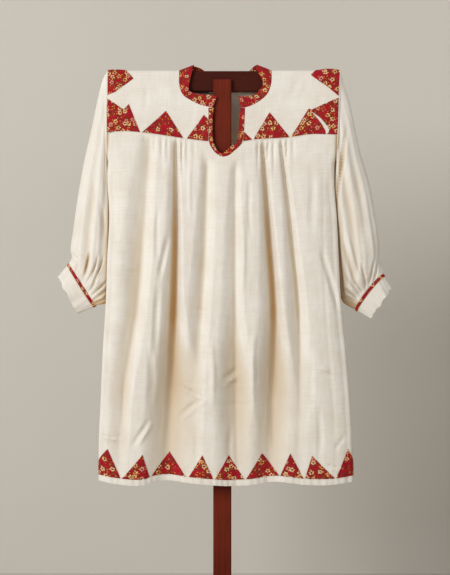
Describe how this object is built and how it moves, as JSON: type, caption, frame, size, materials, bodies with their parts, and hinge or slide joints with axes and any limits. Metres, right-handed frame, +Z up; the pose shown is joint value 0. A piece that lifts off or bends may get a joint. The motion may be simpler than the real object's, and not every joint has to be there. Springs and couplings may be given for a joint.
{
  "type": "raramuri dress on a wooden t stand",
  "caption": "Cream muslin dress with red calico bands and triangles, gathered skirt and full sleeves, shown open and hollow on a wooden T-stand.",
  "frame": {"origin": "on the floor under the middle of the post, at the underside of the base board", "axes": "+Z up, the dress's front faces -Y, +X to the right as seen from the front"},
  "size_m": [0.74, 0.36, 1.3123],
  "materials": {
    "wood": "dark red-brown stain, satin",
    "muslin": "plain weave, unbleached, matte",
    "calico": "printed with small flowers, matte"
  },
  "bodies": {
    "root": {"base_board": "wood", "post": "wood", "crossbar": "wood", "yoke": "muslin", "skirt_front": "muslin", "skirt_back": "muslin", "sleeve_left": "muslin", "sleeve_right": "muslin", "cuff_left": "muslin", "cuff_right": "muslin", "hem_band": "muslin", "neckband": "calico", "slit_binding": "calico", "cuff_piping_left": "calico", "cuff_piping_right": "calico", "triangle_shoulder_left": "calico", "triangle_corner_left": "calico", "triangle_row_left": "calico", "triangle_slit_left": "calico", "triangle_slit_right": "calico", "triangle_row_right": "calico", "triangle_corner_right": "calico", "triangle_armhole_right": "calico", "triangle_shoulder_right": "calico", "triangle_back_corner_left": "calico", "triangle_back_row_1": "calico", "triangle_back_row_2": "calico", "triangle_back_row_3": "calico", "triangle_back_row_4": "calico", "triangle_back_corner_right": "calico", "hem_front_1": "calico", "hem_front_2": "calico", "hem_front_3": "calico", "hem_front_4": "calico", "hem_front_5": "calico", "hem_front_6": "calico", "hem_front_7": "calico", "hem_front_8": "calico", "hem_front_9": "calico", "hem_back_1": "calico", "hem_back_2": "calico", "hem_back_3": "calico", "hem_back_4": "calico", "hem_back_5": "calico", "hem_back_6": "calico", "hem_back_7": "calico", "hem_back_8": "calico", "hem_back_9": "calico"}
  },
  "joints": []
}
